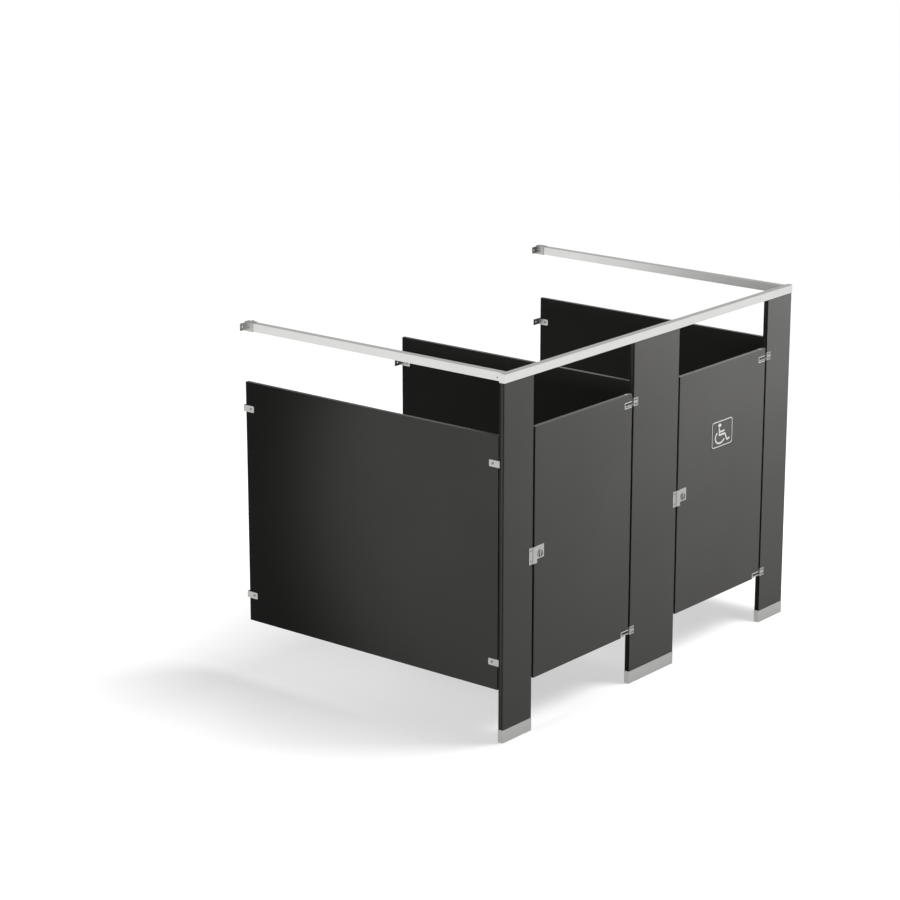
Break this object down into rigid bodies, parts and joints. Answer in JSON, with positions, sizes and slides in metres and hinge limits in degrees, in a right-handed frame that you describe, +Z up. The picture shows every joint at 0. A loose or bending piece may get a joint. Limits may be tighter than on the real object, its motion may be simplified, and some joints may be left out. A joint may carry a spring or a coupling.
{
  "type": "toilet partition",
  "caption": "Floor-anchored toilet partition with overhead-braced headrail, hinged stall doors with turn latches, divider panels and wall brackets.",
  "frame": {"origin": "floor level under the centre of the middle pilaster, midway between its two floor anchor holes", "axes": "+Z up, +Y from the door side towards the wall, +X to the right seen from the door side"},
  "size_m": [2.9046, 1.9388, 2.1282],
  "materials": {
    "board_coat": "charcoal powder coat, fine satin grain",
    "anodised": "clear anodised extrusion, satin",
    "stainless": "brushed",
    "satin_zinc": "satin plated casting",
    "screw_steel": "turned",
    "zinc_steel": "zinc plated",
    "nylon": "moulded",
    "rubber": "matt",
    "sign_face": "satin",
    "sign_white": "raised print"
  },
  "bodies": {
    "frame": {"left_pilaster": "board_coat", "left_shoe": "stainless", "left_panel": "board_coat", "left_panel_front_brackets": "stainless", "left_panel_wall_brackets": "stainless", "middle_pilaster": "board_coat", "middle_shoe": "stainless", "middle_panel": "board_coat", "middle_panel_front_brackets": "stainless", "middle_panel_wall_brackets": "stainless", "right_pilaster": "board_coat", "right_shoe": "stainless", "right_panel": "board_coat", "right_panel_front_brackets": "stainless", "right_panel_wall_brackets": "stainless", "foot_bars": "zinc_steel", "levelling_studs": "zinc_steel", "levelling_nuts": "zinc_steel", "bracket_bolts": "screw_steel", "bracket_screws": "screw_steel", "front_headrail": "anodised", "headrail_end_caps": "anodised", "headrail_corner_brackets": "stainless", "rail_wall_brackets": "stainless", "left_return_rail": "anodised", "right_return_rail": "anodised", "rail_screws": "screw_steel", "hinge_bushes": "nylon", "hinge_screws": "screw_steel", "keepers": "satin_zinc", "keeper_bumpers": "rubber", "keeper_screws": "screw_steel", "left_door_upper_hinge": "satin_zinc", "left_door_lower_hinge": "satin_zinc", "right_door_upper_hinge": "satin_zinc", "right_door_lower_hinge": "satin_zinc"},
    "left_door": {"left_door": "board_coat", "left_hinge_liners": "stainless", "left_hinge_pins": "stainless", "left_latch_plates": "satin_zinc", "left_latch_case": "stainless", "left_coat_hook": "satin_zinc", "left_hook_tip": "rubber", "left_door_screws": "screw_steel"},
    "left_latch_turn": {"left_latch_spindle": "satin_zinc", "left_thumb_turn": "satin_zinc"},
    "left_latch_bolt": {"left_latch_bolt": "stainless"},
    "right_door": {"right_door": "board_coat", "right_hinge_liners": "stainless", "right_hinge_pins": "stainless", "right_latch_plates": "satin_zinc", "right_latch_case": "stainless", "right_coat_hook": "satin_zinc", "right_hook_tip": "rubber", "right_door_screws": "screw_steel", "sign_plate": "sign_face", "sign_figure": "sign_white"},
    "right_latch_turn": {"right_latch_spindle": "satin_zinc", "right_thumb_turn": "satin_zinc"},
    "right_latch_bolt": {"right_latch_bolt": "stainless"}
  },
  "joints": [
    {"name": "left_door_hinge", "type": "hinge", "parent": "frame", "child": "left_door", "pos_m": [-0.282, 0, 1.04], "axis": [0, 0, -1], "range_deg": [0, 95], "stiffness_Nm_per_rad": 3, "springref_deg": -17.19},
    {"name": "left_latch_turn", "type": "hinge", "parent": "left_door", "child": "left_latch_turn", "pos_m": [-1.1, 0, 1.032], "axis": [0, -1, 0], "range_deg": [0, 90]},
    {"name": "left_bolt_slide", "type": "slide", "parent": "left_door", "child": "left_latch_bolt", "axis": [-1, 0, 0], "range_m": [0, 0.026]},
    {"name": "right_door_hinge", "type": "hinge", "parent": "frame", "child": "right_door", "pos_m": [1.117, 0, 1.04], "axis": [0, 0, -1], "range_deg": [0, 95], "stiffness_Nm_per_rad": 3, "springref_deg": -17.19},
    {"name": "right_latch_turn", "type": "hinge", "parent": "right_door", "child": "right_latch_turn", "pos_m": [0.299, 0, 1.032], "axis": [0, -1, 0], "range_deg": [0, 90]},
    {"name": "right_bolt_slide", "type": "slide", "parent": "right_door", "child": "right_latch_bolt", "axis": [-1, 0, 0], "range_m": [0, 0.026]}
  ],
  "couplings": [
    {"joint": "left_bolt_slide", "follows": "left_latch_turn", "m_per_rad": 0.016552},
    {"joint": "right_bolt_slide", "follows": "right_latch_turn", "m_per_rad": 0.016552}
  ]
}
